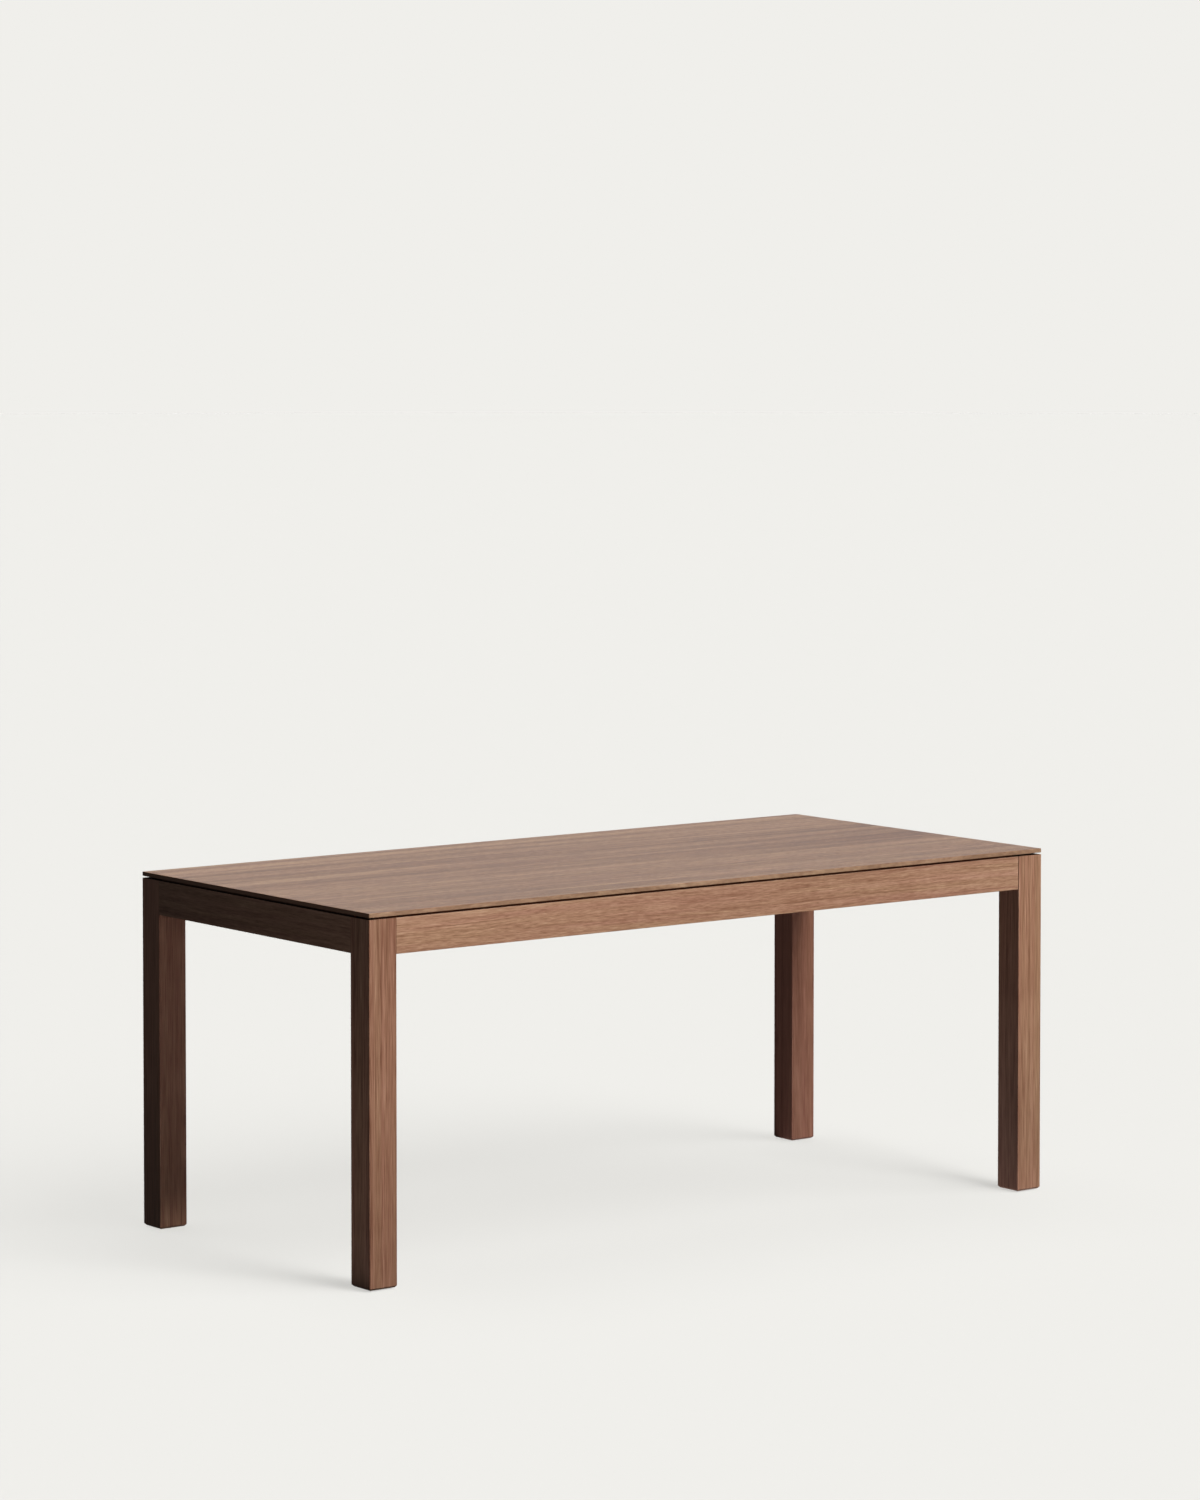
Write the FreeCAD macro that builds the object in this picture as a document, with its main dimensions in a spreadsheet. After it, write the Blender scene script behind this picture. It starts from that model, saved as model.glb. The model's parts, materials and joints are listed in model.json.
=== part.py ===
import FreeCAD, Part
import math
import os
import re

from FreeCAD import Placement, Rotation, Vector
import Sketcher

# Extending dining table with a fixed top and a pull-out end.
# X runs along the table, the moving end at +X. Y runs across it, the front at -Y. Z is up.
# The origin is on the floor under the middle of the closed table. Lengths are millimetres.

SIZES = {
    # Whole table
    "table_length": 1800,
    "table_width": 850,
    "table_height": 760,
    "travel": 500,
    # Board sections
    "top_edge": 9,
    "top_core": 18,
    "shadow_gap": 4,
    "leg_rebate": 70,
    "seam_rebate": 30,
    "side_rebate": 25,
    # Legs and rails
    "leg_size": 66,
    "foot_chamfer": 4,
    "glide_height": 3,
    "glide_size": 34,
    "nail_size": 3,
    "nail_length": 16,
    "apron_height": 73,
    "rail_thickness": 22,
    "arris": 0.8,
    "end_joint": 2,
    # Inner rails of the moving end
    "side_length": 1134,
    "side_height": 45,
    "pad_thickness": 1.2,
    "pad_width": 14,
    "running_clearance": 0.3,
    # Cross pieces
    "cross_height": 56,
    "cross_inset": 150,
    "cross_clearance": 18,
    "bar_thickness": 18,
    "low_bar_width": 60,
    "low_bar_lift": 1,
    "low_bar_inset": 116,
    "low_bar_spread": 480,
    "leaf_bar_width": 70,
    "leaf_bar_lift": 2.5,
    "leaf_inset": 84,
    "leaf_play": 1,
    "guide_wall": 14,
    "guide_arm": 34,
    "guide_height": 14,
    # Spacers between frame and top
    "spacer_setback": 8,
    "spacer_width": 12,
    "spacer_inset": 18,
    # Telescopic slides
    "slide_length": 550,
    "slide_inset": 7,
    "slide_thickness": 12.7,
    "slide_height": 35,
    "slide_wall": 1.2,
    "outer_depth": 10.5,
    "middle_start": 3.6,
    "middle_depth": 7.7,
    "middle_height": 24.2,
    "inner_depth": 6.3,
    "inner_height": 14.6,
    "cage_length": 200,
    "cage_wall": 0.6,
    "outer_cage_start": 2.6,
    "outer_cage_depth": 6.9,
    "inner_cage_start": 5.2,
    "inner_cage_depth": 5.3,
    "outer_ball_line": 7,
    "inner_ball_line": 9,
    "ball_play": 0.3,
    "screw_inset": 40,
    # Fasteners
    "dowel_size": 8,
    "dowel_length": 50,
    "dowel_edge": 18,
    "bar_dowel_size": 6,
    "bar_dowel_length": 24,
    "bar_dowel_seat": 10,
    "bar_dowel_spread": 36,
    "bolt_size": 8,
    "bolt_play": 0.6,
    "bolt_bite": 40,
    "bolt_tail": 4,
    "nut_flats": 13,
    "nut_height": 6.5,
    "flange_size": 18,
    "flange_height": 1.5,
    "block_clearance": 4,
    "block_depth": 42,
    "block_height": 40,
    "slide_screw_size": 3.5,
    "slide_screw_length": 14,
    "slide_screw_head": 7,
    "slide_screw_head_height": 1,
    "top_screw_size": 4,
    "top_screw_length": 26,
    "top_screw_head": 8,
    "top_screw_head_height": 2.5,
    "top_screw_bite": 12,
    "top_screw_play": 1,
    "top_screw_spread": 250,
    "pin_size": 5,
    "pin_length": 30,
    "pin_spread": 300,
    "sleeve_size": 7,
    "sleeve_bore": 5.4,
    "sleeve_length": 18,
    # Latches and stops
    "latch_pivot_inset": 44,
    "latch_width": 12,
    "latch_thickness": 4,
    "latch_reach": 20,
    "latch_handle": 30,
    "latch_play": 0.3,
    "pivot_size": 6,
    "pivot_bite": 15,
    "pivot_head": 11,
    "pivot_head_height": 2.5,
    "keeper_play": 0.6,
    "keeper_width": 32,
    "keeper_post": 5,
    "keeper_depth": 9,
    "keeper_base": 2,
    "keeper_height": 11,
    "bumper_size": 10,
    "bumper_thickness": 1.6,
}

# Places and sizes that follow from the ones above
PLACES = {
    "half_length": "table_length / 2",
    "half_width": "table_width / 2",
    "edge_under": "table_height - top_edge",
    "core_under": "table_height - top_core",
    "frame_top": "edge_under - shadow_gap",
    "frame_bottom": "frame_top - apron_height",
    "leg_height": "frame_top - glide_height",
    "end_rail_length": "table_width - 2 * leg_size",
    "apron_left": "leg_size - half_length",
    "apron_length": "table_length - 2 * leg_size - end_joint",
    "apron_right": "apron_left + apron_length",
    "apron_inner": "half_width - rail_thickness",
    "side_outer": "apron_inner - slide_thickness",
    "side_inner": "side_outer - rail_thickness",
    "side_centre": "side_outer - rail_thickness / 2",
    "side_right": "half_length - leg_size",
    "side_left": "side_right - side_length",
    "side_top": "core_under - running_clearance - pad_thickness",
    "side_bottom": "side_top - side_height",
    "side_level": "side_bottom + side_height / 2",
    "side_setback": "half_width - side_centre",
    "leaf_bar_bottom": "side_bottom + leaf_bar_lift",
    "leaf_bar_top": "leaf_bar_bottom + bar_thickness",
    "leaf_right": "side_right - leaf_inset",
    "leaf_left": "leaf_right - table_width",
    "left_leaf_bar": "leaf_left - guide_wall - leaf_play",
    "right_leaf_bar": "leaf_right + guide_wall + leaf_play - leaf_bar_width",
    "left_cross": "apron_left + cross_inset",
    "middle_cross": "side_left - cross_clearance - rail_thickness",
    "right_low_bar": "apron_right - low_bar_inset",
    "middle_low_bar": "right_low_bar - low_bar_spread",
    "slide_left": "apron_right - slide_inset - slide_length",
    "cage_left": "slide_left + (slide_length - cage_length) / 2",
    "outer_gap": "(slide_height - middle_height) / 2 - slide_wall",
    "inner_gap": "(middle_height - inner_height) / 2 - slide_wall",
    "block_bottom": "side_level - block_height / 2",
    "dowel_low": "frame_bottom + dowel_edge",
    "dowel_high": "frame_top - dowel_edge",
    "side_dowel_rise": "(side_height - dowel_size) / 3",
    "latch_top": "side_bottom - latch_play",
    "latch_bottom": "latch_top - latch_thickness",
    "latch_x": "side_right - latch_pivot_inset",
}

FRONT = -1
BACK = 1
FIXED = -1
MOVING = 1
CAGE_BALLS = 6
NUT_SIDES = 6
QUARTER = 90
HALF_TURN = 180

doc = FreeCAD.newDocument("ExtendingTable")
sheet = doc.addObject("Spreadsheet::Sheet", "Sizes")
parts = []


def fill_sheet():
    row = 1
    for group, prefix in ((SIZES, ""), (PLACES, "=")):
        for name, value in group.items():
            sheet.set(f"A{row}", name)
            sheet.set(f"B{row}", f"{prefix}{value}")
            sheet.setAlias(f"B{row}", name)
            row += 1
    doc.recompute()


def size(name):
    """Reads a size or place from the sheet."""
    return float(sheet.get(name))


def linked(text):
    """Points each sheet name in an expression at the sheet."""
    def point(match):
        word = match.group(0)
        return f"Sizes.{word}" if word in SIZES or word in PLACES else word
    return re.sub(r"[a-z_]+", point, text)


def bind(item, path, text):
    item.setExpression(path, linked(text))


def new_body(label):
    body = doc.addObject("PartDesign::Body", label)
    body.Label = label
    parts.append(body)
    return body


def place(item, x, y, z, turn=0):
    """Puts a sub-part's own origin at x, y, z, turned about Z by an angle in degrees."""
    item.Placement = Placement(Vector(), Rotation(Vector(0, 0, 1), turn))
    bind(item, "Placement.Base.x", x)
    bind(item, "Placement.Base.y", y)
    bind(item, "Placement.Base.z", z)


def new_sketch(body, role, height="0"):
    """Starts a sketch on an origin plane of the body, lifted along the plane's normal."""
    sketch = body.newObject("Sketcher::SketchObject", f"{body.Label}_sketch")
    plane = [item for item in body.Origin.OriginFeatures if item.Role == role][0]
    sketch.AttachmentSupport = [(plane, "")]
    sketch.MapMode = "FlatFace"
    if height != "0":
        bind(sketch, "AttachmentOffset.Base.z", height)
    return sketch


def fix_point(sketch, shape, vertex, x, y):
    """Holds a point at x, y from the sketch origin; 0 puts it on the axis."""
    for text, kind, axis in ((x, "DistanceX", -2), (y, "DistanceY", -1)):
        if text == "0":
            sketch.addConstraint(Sketcher.Constraint("PointOnObject", shape, vertex, axis))
        else:
            number = sketch.addConstraint(Sketcher.Constraint(kind, -1, 1, shape, vertex, 1.0))
            bind(sketch, f"Constraints[{number}]", text)


def outline(sketch, points):
    """Draws a closed polygon through points given as pairs of expressions."""
    count = len(points)
    # Any distinct start places do, because the constraints move every point to its own
    starts = [Vector(step, step * step, 0) for step in range(count)]
    lines = []
    for step in range(count):
        segment = Part.LineSegment(starts[step], starts[(step + 1) % count])
        lines.append(sketch.addGeometry(segment, False))
    for step in range(count):
        following = lines[(step + 1) % count]
        sketch.addConstraint(Sketcher.Constraint("Coincident", lines[step], 2, following, 1))
    for line, (x, y) in zip(lines, points):
        fix_point(sketch, line, 1, x, y)


def rectangle(sketch, x, y, length, width):
    far_x = f"{x} + {length}"
    far_y = f"{y} + {width}"
    outline(sketch, [(x, y), (far_x, y), (far_x, far_y), (x, far_y)])


def circle(sketch, x, y, diameter):
    ring = sketch.addGeometry(Part.Circle(Vector(0, 0, 0), Vector(0, 0, 1), 1.0), False)
    fix_point(sketch, ring, 3, x, y)
    number = sketch.addConstraint(Sketcher.Constraint("Diameter", ring, 1.0))
    bind(sketch, f"Constraints[{number}]", diameter)


def pad(body, sketch, length):
    feature = body.newObject("PartDesign::Pad", f"{body.Label}_pad")
    feature.Profile = sketch
    bind(feature, "Length", length)
    body.Tip = feature
    return feature


def pocket(body, sketch, depth, along_normal):
    feature = body.newObject("PartDesign::Pocket", f"{body.Label}_pocket")
    feature.Profile = sketch
    feature.Reversed = along_normal
    bind(feature, "Length", depth)
    body.Tip = feature
    return feature


def board(label, length, width, height):
    """A squared piece with its own origin at its lower left front corner."""
    body = new_body(label)
    sketch = new_sketch(body, "XY_Plane")
    rectangle(sketch, "0", "0", length, width)
    pad(body, sketch, height)
    return body


def edges_along(shape, direction, level=None):
    """Names the straight edges along a direction, at one height if a level is given."""
    names = []
    tolerance = Part.Precision.confusion()
    for number, edge in enumerate(shape.Edges, 1):
        start = edge.Vertexes[0].Point
        run = edge.Vertexes[-1].Point - start
        straight = run.Length > tolerance and run.cross(direction).Length < tolerance * run.Length
        if straight and (level is None or abs(start.z - level) < tolerance):
            names.append(f"Edge{number}")
    return names


def soften(body, *directions):
    """Rounds the arrises that run along the given directions."""
    doc.recompute()
    base = body.Tip
    names = [name for direction in directions for name in edges_along(base.Shape, direction)]
    feature = body.newObject("PartDesign::Fillet", f"{body.Label}_arris")
    feature.Base = (base, names)
    bind(feature, "Radius", "arris")
    body.Tip = feature


def side_holes(body, x, y, levels, heading, diameter, depth):
    """Bores level holes from x, y, one above the other, towards a heading from +X in degrees."""
    sketch = new_sketch(body, "YZ_Plane")
    sketch.AttachmentOffset = Placement(Vector(), Rotation(Vector(0, 1, 0), heading))
    bind(sketch, "AttachmentOffset.Base.x", y)
    bind(sketch, "AttachmentOffset.Base.z", x)
    for level in levels:
        circle(sketch, "0", level, diameter)
    pocket(body, sketch, depth, True)


def upright_holes(body, places, level, diameter, depth):
    """Bores holes upwards from a level at each x, y."""
    sketch = new_sketch(body, "XY_Plane", level)
    for x, y in places:
        circle(sketch, x, y, diameter)
    pocket(body, sketch, depth, True)


def make_feature(label, solids):
    """Keeps loose solids, such as a set of like fasteners, as one sub-part."""
    feature = doc.addObject("Part::Feature", label)
    feature.Label = label
    feature.Shape = Part.makeCompound(solids) if len(solids) > 1 else solids[0]
    feature.Placement = Placement()
    parts.append(feature)
    return feature


def stack(start, direction, steps):
    """Fuses coaxial cylinders, given as diameter and length, one after another."""
    solid = None
    for diameter, length in steps:
        cylinder = Part.makeCylinder(diameter / 2, length, start, direction)
        solid = cylinder if solid is None else solid.fuse(cylinder)
        start = start + direction * length
    return solid.removeSplitter()


def mirrored_y(side, distance):
    """An expression for a distance from the middle towards the front or the back."""
    return distance if side == BACK else f"-({distance})"


# Boards

def make_main_top():
    body = board("main_top", "table_length", "table_width", "top_edge")
    place(body, "-half_length", "-half_width", "edge_under")
    soften(body, Vector(1, 0, 0), Vector(0, 1, 0), Vector(0, 0, 1))
    core = new_sketch(body, "XY_Plane", "top_edge - top_core")
    rectangle(core, "leg_rebate", "side_rebate", "table_length - 2 * leg_rebate",
              "table_width - 2 * side_rebate")
    pad(body, core, "top_core - top_edge")
    pilots = []
    for cross in ("left_cross", "middle_cross"):
        for step in (-1, 0, 1):
            x = f"half_length + {cross} + rail_thickness / 2"
            pilots.append((x, f"half_width + {step} * top_screw_spread"))
    upright_holes(body, pilots, "top_edge - top_core", "top_screw_size", "top_screw_bite")
    for step in (-1, 0, 1):
        y = f"half_width + {step} * pin_spread"
        side_holes(body, "table_length", y, ["top_edge / 2"], HALF_TURN, "sleeve_size", "sleeve_length")


def make_leaf():
    body = board("leaf_board", "table_width", "travel", "top_edge")
    place(body, "leaf_left", "-travel / 2", "leaf_bar_top + top_core - top_edge")
    soften(body, Vector(1, 0, 0), Vector(0, 1, 0), Vector(0, 0, 1))
    core = new_sketch(body, "XY_Plane", "top_edge - top_core")
    rectangle(core, "side_rebate", "seam_rebate", "table_width - 2 * side_rebate",
              "travel - seam_rebate - leg_rebate")
    pad(body, core, "top_core - top_edge")
    for step in (-1, 0, 1):
        x = f"half_width + {step} * pin_spread"
        side_holes(body, x, "0", ["top_edge / 2"], QUARTER, "pin_size", "pin_length / 2")


def make_pins():
    level = size("leaf_bar_top") + size("top_core") - size("top_edge") / 2
    start = -(size("travel") + size("pin_length")) / 2
    middle = size("leaf_left") + size("half_width")
    mouth_level = size("edge_under") + size("top_edge") / 2
    inwards = Vector(-1, 0, 0)
    pins = []
    sleeves = []
    for step in (-1, 0, 1):
        pin_start = Vector(middle + step * size("pin_spread"), start, level)
        pins.append(stack(pin_start, Vector(0, 1, 0), [(size("pin_size"), size("pin_length"))]))
        mouth = Vector(size("half_length"), step * size("pin_spread"), mouth_level)
        sleeve = stack(mouth, inwards, [(size("sleeve_size"), size("sleeve_length"))])
        sleeves.append(sleeve.cut(stack(mouth, inwards, [(size("sleeve_bore"), size("sleeve_length"))])))
    make_feature("leaf_pins", pins)
    make_feature("pin_sleeves", sleeves)


# Legs

def make_leg(label, end, side):
    """A leg with dowel holes for its long rail and its end rail, and a bolt hole in its inner corner."""
    body = board(label, "leg_size", "leg_size", "leg_height")
    place(body, "-half_length" if end == FIXED else "half_length - leg_size",
          "-half_width" if side == FRONT else "half_width - leg_size", "glide_height")
    doc.recompute()
    base = body.Tip
    foot = edges_along(base.Shape, Vector(1, 0, 0), 0) + edges_along(base.Shape, Vector(0, 1, 0), 0)
    chamfer = body.newObject("PartDesign::Chamfer", f"{label}_foot")
    chamfer.Base = (base, foot)
    bind(chamfer, "Size", "foot_chamfer")
    body.Tip = chamfer
    soften(body, Vector(0, 0, 1))

    inner_x = "leg_size" if end == FIXED else "0"
    inner_y = "leg_size" if side == FRONT else "0"
    into_x = HALF_TURN if end == FIXED else 0
    into_y = -QUARTER if side == FRONT else QUARTER
    setback = "rail_thickness / 2" if end == FIXED else "side_setback"
    long_line = setback if side == FRONT else f"leg_size - ({setback})"
    end_line = "rail_thickness / 2" if end == FIXED else "leg_size - rail_thickness / 2"
    end_levels = ["dowel_low - glide_height", "dowel_high - glide_height"]
    long_levels = end_levels
    if end == MOVING:
        long_levels = [f"side_level {way} side_dowel_rise - glide_height" for way in "-+"]
    side_holes(body, inner_x, long_line, long_levels, into_x, "dowel_size", "dowel_length / 2")
    side_holes(body, end_line, inner_y, end_levels, into_y, "dowel_size", "dowel_length / 2")
    side_holes(body, inner_x, inner_y, ["side_level - glide_height"], bolt_heading(end, side),
               "bolt_size", "bolt_bite")
    upright_holes(body, [("leg_size / 2", "leg_size / 2")], "0", "nail_size", "nail_length")


def bolt_heading(end, side):
    """The way a corner bolt points into its leg, in degrees from +X."""
    return math.degrees(math.atan2(side, end))


def make_glide(label, end, side):
    """A plastic glide with its nail, under a leg."""
    body = new_body(label)
    disc = new_sketch(body, "XY_Plane")
    circle(disc, "0", "0", "glide_size")
    pad(body, disc, "glide_height")
    nail = new_sketch(body, "XY_Plane")
    circle(nail, "0", "0", "nail_size")
    pad(body, nail, "glide_height + nail_length")
    x = "leg_size / 2 - half_length" if end == FIXED else "half_length - leg_size / 2"
    y = "leg_size / 2 - half_width" if side == FRONT else "half_width - leg_size / 2"
    place(body, x, y, "0")


# Rails of the two frames

def slide_screw_places():
    """Places of the slide screws along a slide."""
    return ["screw_inset", "slide_length / 2", "slide_length - screw_inset"]


def cross_dowels():
    """Places of the dowels in the ends of the cross rails, as x and z."""
    middle = "core_under - cross_height / 2"
    return [(f"({left} + rail_thickness / 2)", f"({middle} {way} bar_dowel_spread / 2)")
            for left in ("left_cross", "middle_cross") for way in "-+"]


def low_bar_dowels():
    """Places of the dowels in the ends of the low bars, as x and z."""
    level = "(frame_bottom + low_bar_lift + bar_thickness / 2)"
    return [(f"({middle} {way} bar_dowel_spread / 2)", level)
            for middle in ("middle_low_bar", "right_low_bar") for way in "-+"]


def leaf_bar_dowels():
    """Places of the dowels in the ends of the leaf bars, as x and z."""
    level = "(leaf_bar_bottom + bar_thickness / 2)"
    return [(f"({left} + leaf_bar_width / 2 {way} bar_dowel_spread / 2)", level)
            for left in ("left_leaf_bar", "right_leaf_bar") for way in "-+"]


def end_dowel_holes(body, left, half_length, bottom, places):
    """Bores dowel holes into both ends of a cross piece that starts at left and bottom."""
    depth = "bar_dowel_length - bar_dowel_seat"
    for x, z in places:
        side_holes(body, f"{x} - ({left})", "0", [f"{z} - ({bottom})"], QUARTER, "bar_dowel_size", depth)
        side_holes(body, f"{x} - ({left})", f"2 * {half_length}", [f"{z} - ({bottom})"], -QUARTER,
                   "bar_dowel_size", depth)


def make_apron(label, side):
    body = board(label, "apron_length", "rail_thickness", "apron_height")
    place(body, "apron_left", "-half_width" if side == FRONT else "apron_inner", "frame_bottom")
    soften(body, Vector(1, 0, 0))
    levels = ["dowel_edge", "apron_height - dowel_edge"]
    side_holes(body, "0", "rail_thickness / 2", levels, 0, "dowel_size", "dowel_length / 2")
    inner_face = "rail_thickness" if side == FRONT else "0"
    outwards = side * QUARTER
    for along in slide_screw_places():
        side_holes(body, f"slide_left + {along} - apron_left", inner_face, ["side_level - frame_bottom"],
                   outwards, "slide_screw_size", "slide_screw_length")
    for x, z in cross_dowels() + low_bar_dowels():
        side_holes(body, f"{x} - apron_left", inner_face, [f"{z} - frame_bottom"],
                   outwards, "bar_dowel_size", "bar_dowel_seat")


def make_end_rail(label, end):
    body = board(label, "rail_thickness", "end_rail_length", "apron_height")
    place(body, "-half_length" if end == FIXED else "half_length - rail_thickness",
          "leg_size - half_width", "frame_bottom")
    soften(body, Vector(0, 1, 0))
    levels = ["dowel_edge", "apron_height - dowel_edge"]
    for y, heading in (("0", QUARTER), ("end_rail_length", -QUARTER)):
        side_holes(body, "rail_thickness / 2", y, levels, heading, "dowel_size", "dowel_length / 2")


def make_side_rail(label, side):
    """An inner rail of the moving end, which its slide hangs on the apron."""
    body = board(label, "side_length", "rail_thickness", "side_height")
    place(body, "side_left", "-side_outer" if side == FRONT else "side_inner", "side_bottom")
    levels = [f"side_height / 2 {way} side_dowel_rise" for way in "-+"]
    side_holes(body, "side_length", "rail_thickness / 2", levels, HALF_TURN,
               "dowel_size", "dowel_length / 2")
    outer_face = "0" if side == FRONT else "rail_thickness"
    for along in slide_screw_places():
        side_holes(body, f"slide_left + {along} - side_left", outer_face, ["side_height / 2"],
                   -side * QUARTER, "slide_screw_size", "slide_screw_length")
    inner_face = "rail_thickness" if side == FRONT else "0"
    for x, z in leaf_bar_dowels():
        side_holes(body, f"{x} - side_left", inner_face, [f"{z} - side_bottom"], side * QUARTER,
                   "bar_dowel_size", "bar_dowel_seat")
    pivot = ("side_length - latch_pivot_inset", "rail_thickness / 2")
    upright_holes(body, [pivot], "0", "pivot_size", "pivot_bite")


def make_rail_pads():
    """Felt strips on the inner rails, which the leaf lies on and the top passes over."""
    pads = []
    for side in (FRONT, BACK):
        low_y = side * size("side_centre") - size("pad_width") / 2
        corner = Vector(size("side_left"), low_y, size("side_top"))
        pads.append(Part.makeBox(size("side_length"), size("pad_width"), size("pad_thickness"), corner))
    make_feature("rail_pads", pads)


def make_cross_rail(label, left, dowels):
    """A cross rail of the fixed frame, with counterbored holes for the screws that hold the top."""
    body = board(label, "rail_thickness", "2 * apron_inner", "cross_height")
    place(body, left, "-apron_inner", "core_under - cross_height")
    places = [("rail_thickness / 2", f"apron_inner + {step} * top_screw_spread") for step in (-1, 0, 1)]
    upright_holes(body, places, "0", "top_screw_size + top_screw_play", "cross_height")
    upright_holes(body, places, "0", "top_screw_head + top_screw_play",
                  "cross_height + top_screw_bite - top_screw_length")
    end_dowel_holes(body, left, "apron_inner", "core_under - cross_height", dowels)


def make_low_bar(label, middle, dowels):
    """A flat bar that ties the aprons together under the moving rails."""
    body = board(label, "low_bar_width", "2 * apron_inner", "bar_thickness")
    left = f"{middle} - low_bar_width / 2"
    place(body, left, "-apron_inner", "frame_bottom + low_bar_lift")
    end_dowel_holes(body, left, "apron_inner", "frame_bottom + low_bar_lift", dowels)


def make_leaf_bar(label, left, dowels):
    """A flat bar of the moving end, which carries one end of the stored leaf."""
    body = board(label, "leaf_bar_width", "2 * side_inner", "bar_thickness")
    place(body, left, "-side_inner", "leaf_bar_bottom")
    end_dowel_holes(body, left, "side_inner", "leaf_bar_bottom", dowels)


def make_leaf_guides():
    """Corner stops that keep the stored leaf on its bars."""
    wall = size("guide_wall")
    play = size("leaf_play")
    arm = size("guide_arm")
    height = size("guide_height")
    middle = size("leaf_left") + size("half_width")
    guides = []
    for end in (FIXED, MOVING):
        for side in (FRONT, BACK):
            corner_x = middle + end * (size("half_width") + play)
            corner_y = side * (size("travel") / 2 + play)
            outer = Vector(corner_x + end * wall, corner_y + side * wall, size("leaf_bar_top"))
            block = Part.makeBox(arm, arm, height)
            block.translate(Vector(outer.x - max(end, 0) * arm, outer.y - max(side, 0) * arm, outer.z))
            inside = Part.makeBox(arm, arm, height)
            inside.translate(Vector(corner_x - max(end, 0) * arm, corner_y - max(side, 0) * arm, outer.z))
            guides.append(block.cut(inside))
    make_feature("leaf_guides", guides)


def make_spacer(label, side):
    """A strip that holds the top clear of an apron and makes the shadow gap."""
    length = "apron_right + half_length - spacer_inset - spacer_setback"
    body = board(label, length, "spacer_width", "shadow_gap")
    y = "spacer_setback - half_width" if side == FRONT else "half_width - spacer_setback - spacer_width"
    place(body, "spacer_inset - half_length", y, "frame_top")


def make_end_spacer():
    body = board("spacer_end", "spacer_width", "end_rail_length", "shadow_gap")
    place(body, "spacer_setback - half_length", "-end_rail_length / 2", "frame_top")


# Corner joints

def corner_offsets(end):
    """How far the leg's inner corner stands in front of the end rail and of the long rail."""
    long_face = "apron_inner" if end == FIXED else "side_inner"
    return "leg_size - rail_thickness", f"{long_face} - half_width + leg_size"


def make_corner_block(label, end, side):
    """A wooden block across an inner corner, bored for the corner bolt."""
    body = new_body(label)
    long_face = "apron_inner" if end == FIXED else "side_inner"
    from_end, from_long = corner_offsets(end)
    near = f"{from_end} + {from_long} + block_clearance"
    far = f"{near} + block_depth"
    sketch = new_sketch(body, "XY_Plane")
    outline(sketch, [(near, "0"), (far, "0"), ("0", far), ("0", near)])
    pad(body, sketch, "block_height")
    # Turned so, the block's own X lies along the end rail at two of the four corners
    swapped = end * side < 0
    bolt_x, bolt_y = (from_long, from_end) if swapped else (from_end, from_long)
    half_way = "(block_clearance + block_depth) / 2"
    side_holes(body, f"{bolt_x} + {half_way}", f"{bolt_y} + {half_way}", ["block_height / 2"],
               HALF_TURN + QUARTER / 2, "bolt_size + bolt_play", "block_depth")
    turn = {(FIXED, FRONT): 0, (MOVING, FRONT): QUARTER, (MOVING, BACK): HALF_TURN, (FIXED, BACK): -QUARTER}
    place(body, f"{end} * (half_length - rail_thickness)", f"{side} * {long_face}", "block_bottom",
          turn[(end, side)])


def make_corner_bolts(label, nut_label, end):
    """Hanger bolts from the legs through the corner blocks, with their flanged nuts."""
    bolts = []
    nuts = []
    through = (size("block_clearance") + size("block_depth")) / math.sqrt(2)
    for side in (FRONT, BACK):
        corner_y = side * (size("half_width") - size("leg_size"))
        corner = Vector(end * size("side_right"), corner_y, size("side_level"))
        inwards = Vector(-end, -side, 0).normalize()
        length = size("bolt_bite") + through + size("nut_height") + size("bolt_tail")
        bolts.append(stack(corner - inwards * size("bolt_bite"), inwards, [(size("bolt_size"), length)]))
        seat = corner + inwards * through
        nut = hexagon(seat, inwards, size("nut_flats"), size("nut_height"))
        nut = nut.fuse(stack(seat, inwards, [(size("flange_size"), size("flange_height"))]))
        nuts.append(nut.cut(stack(seat, inwards, [(size("bolt_size"), size("nut_height"))])))
    make_feature(label, bolts)
    make_feature(nut_label, nuts)


def hexagon(start, direction, flats, height):
    """A hexagonal prism along a direction."""
    radius = flats / 2 / math.cos(math.pi / NUT_SIDES)
    points = []
    for step in range(NUT_SIDES + 1):
        angle = step * 2 * math.pi / NUT_SIDES
        points.append(Vector(math.cos(angle), math.sin(angle), 0) * radius)
    prism = Part.Face(Part.makePolygon(points)).extrude(Vector(0, 0, height))
    prism.Placement = Placement(start, Rotation(Vector(0, 0, 1), direction))
    return prism


def make_dowels():
    fixed = []
    moving = []
    half = size("dowel_length") / 2
    end_line = size("half_length") - size("rail_thickness") / 2
    leg_face_x = size("side_right")
    leg_face_y = size("half_width") - size("leg_size")
    apron_line = size("half_width") - size("rail_thickness") / 2
    rise = size("side_dowel_rise")
    steps = [(size("dowel_size"), size("dowel_length"))]
    levels = (size("dowel_low"), size("dowel_high"))
    side_levels = (size("side_level") - rise, size("side_level") + rise)
    for side in (FRONT, BACK):
        for end, pins in ((FIXED, fixed), (MOVING, moving)):
            for level in levels:
                start = Vector(end * end_line, side * leg_face_y - half, level)
                pins.append(stack(start, Vector(0, 1, 0), steps))
        for level in levels:
            start = Vector(-leg_face_x - half, side * apron_line, level)
            fixed.append(stack(start, Vector(1, 0, 0), steps))
        for level in side_levels:
            start = Vector(leg_face_x - half, side * size("side_centre"), level)
            moving.append(stack(start, Vector(1, 0, 0), steps))
    make_feature("dowels_fixed", fixed)
    make_feature("dowels_moving", moving)


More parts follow.
